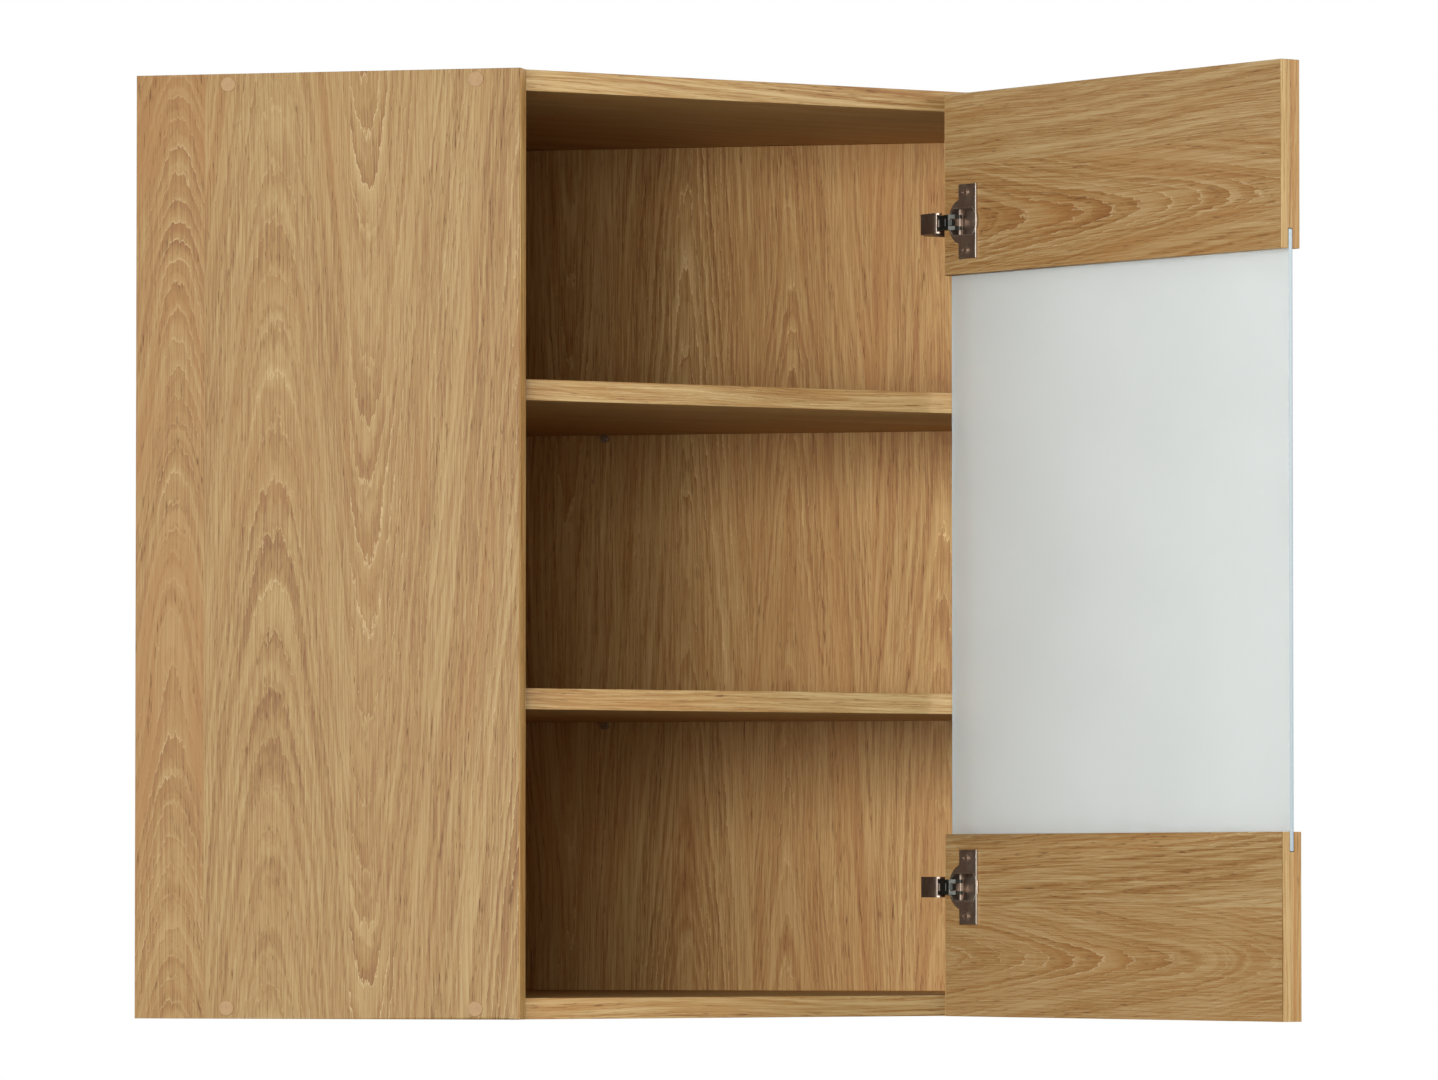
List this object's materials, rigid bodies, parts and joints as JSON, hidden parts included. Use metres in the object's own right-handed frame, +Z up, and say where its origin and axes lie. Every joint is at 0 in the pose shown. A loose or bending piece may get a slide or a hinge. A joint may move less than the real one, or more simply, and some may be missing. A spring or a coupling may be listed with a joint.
{
  "type": "diagonal corner wall cabinet",
  "caption": "Five-sided wooden wall cabinet for a room corner, with shelves and a frosted glass door between two wooden rails that swings on cup hinges.",
  "frame": {"origin": "the lower room corner behind the cabinet, where both walls meet at the height of the underside", "axes": "+X to the right along one wall (the plane y = 0), -Y along the other wall (the plane x = 0) towards the room, +Z up"},
  "size_m": [0.8962, 0.6008, 0.72],
  "materials": {
    "carcass_wood": "satin laminate, pale brown oak grain",
    "back_wood": "satin laminate, pale brown oak grain",
    "door_wood": "satin laminate, pale brown oak grain",
    "frosted_glass": "frosted, slightly green",
    "cap_plastic": "matt brown",
    "hinge_nickel": "nickel plated",
    "link_steel": "dark steel",
    "screw_zinc": "zinc plated",
    "pin_steel": "nickel plated",
    "hanger_steel": "zinc plated sheet"
  },
  "bodies": {
    "carcass": {"bottom_panel": "carcass_wood", "left_back_panel": "back_wood", "left_bottom_front_cap": "cap_plastic", "left_bottom_front_screw": "screw_zinc", "left_bottom_rear_cap": "cap_plastic", "left_bottom_rear_screw": "screw_zinc", "left_hanging_plate": "hanger_steel", "left_side_panel": "carcass_wood", "left_top_front_cap": "cap_plastic", "left_top_front_screw": "screw_zinc", "left_top_rear_cap": "cap_plastic", "left_top_rear_screw": "screw_zinc", "lower_hinge_arm": "hinge_nickel", "lower_hinge_arm_pin": "hinge_nickel", "lower_hinge_mounting_plate": "hinge_nickel", "lower_hinge_plate_screw_high": "screw_zinc", "lower_hinge_plate_screw_low": "screw_zinc", "lower_shelf": "carcass_wood", "lower_shelf_pin_left_back": "pin_steel", "lower_shelf_pin_left_front": "pin_steel", "lower_shelf_pin_right_back": "pin_steel", "lower_shelf_pin_right_front": "pin_steel", "right_back_panel": "back_wood", "right_bottom_front_cap": "cap_plastic", "right_bottom_front_screw": "screw_zinc", "right_bottom_rear_cap": "cap_plastic", "right_bottom_rear_screw": "screw_zinc", "right_hanging_plate": "hanger_steel", "right_side_panel": "carcass_wood", "right_top_front_cap": "cap_plastic", "right_top_front_screw": "screw_zinc", "right_top_rear_cap": "cap_plastic", "right_top_rear_screw": "screw_zinc", "top_panel": "carcass_wood", "upper_hinge_arm": "hinge_nickel", "upper_hinge_arm_pin": "hinge_nickel", "upper_hinge_mounting_plate": "hinge_nickel", "upper_hinge_plate_screw_high": "screw_zinc", "upper_hinge_plate_screw_low": "screw_zinc", "upper_shelf": "carcass_wood", "upper_shelf_pin_left_back": "pin_steel", "upper_shelf_pin_left_front": "pin_steel", "upper_shelf_pin_right_back": "pin_steel", "upper_shelf_pin_right_front": "pin_steel"},
    "outer_links": {"lower_hinge_outer_link": "link_steel", "upper_hinge_outer_link": "link_steel"},
    "door": {"door_bottom_rail": "door_wood", "door_glass": "frosted_glass", "door_top_rail": "door_wood", "lower_hinge_cup": "hinge_nickel", "lower_hinge_cup_screw_high": "screw_zinc", "lower_hinge_cup_screw_low": "screw_zinc", "lower_hinge_cup_wire": "hinge_nickel", "upper_hinge_cup": "hinge_nickel", "upper_hinge_cup_screw_high": "screw_zinc", "upper_hinge_cup_screw_low": "screw_zinc", "upper_hinge_cup_wire": "hinge_nickel"},
    "inner_links": {"lower_hinge_inner_link": "link_steel", "upper_hinge_inner_link": "link_steel"}
  },
  "joints": [
    {"name": "door_swing", "type": "hinge", "parent": "outer_links", "child": "door", "pos_m": [0.58607, -0.33419, 0.36], "axis": [0, 0, 1], "range_deg": [-147, 0]},
    {"name": "outer_link_swing", "type": "hinge", "parent": "carcass", "child": "outer_links", "pos_m": [0.56774, -0.32875, 0.36], "axis": [0, 0, 1], "range_deg": [0, 51.1]},
    {"name": "inner_link_swing", "type": "hinge", "parent": "carcass", "child": "inner_links", "pos_m": [0.56335, -0.32182, 0.36], "axis": [0, 0, 1], "range_deg": [0, 31.6]}
  ],
  "couplings": [
    {"joint": "outer_link_swing", "follows": "door_swing", "ratio": -0.34694},
    {"joint": "inner_link_swing", "follows": "door_swing", "ratio": -0.21429}
  ]
}
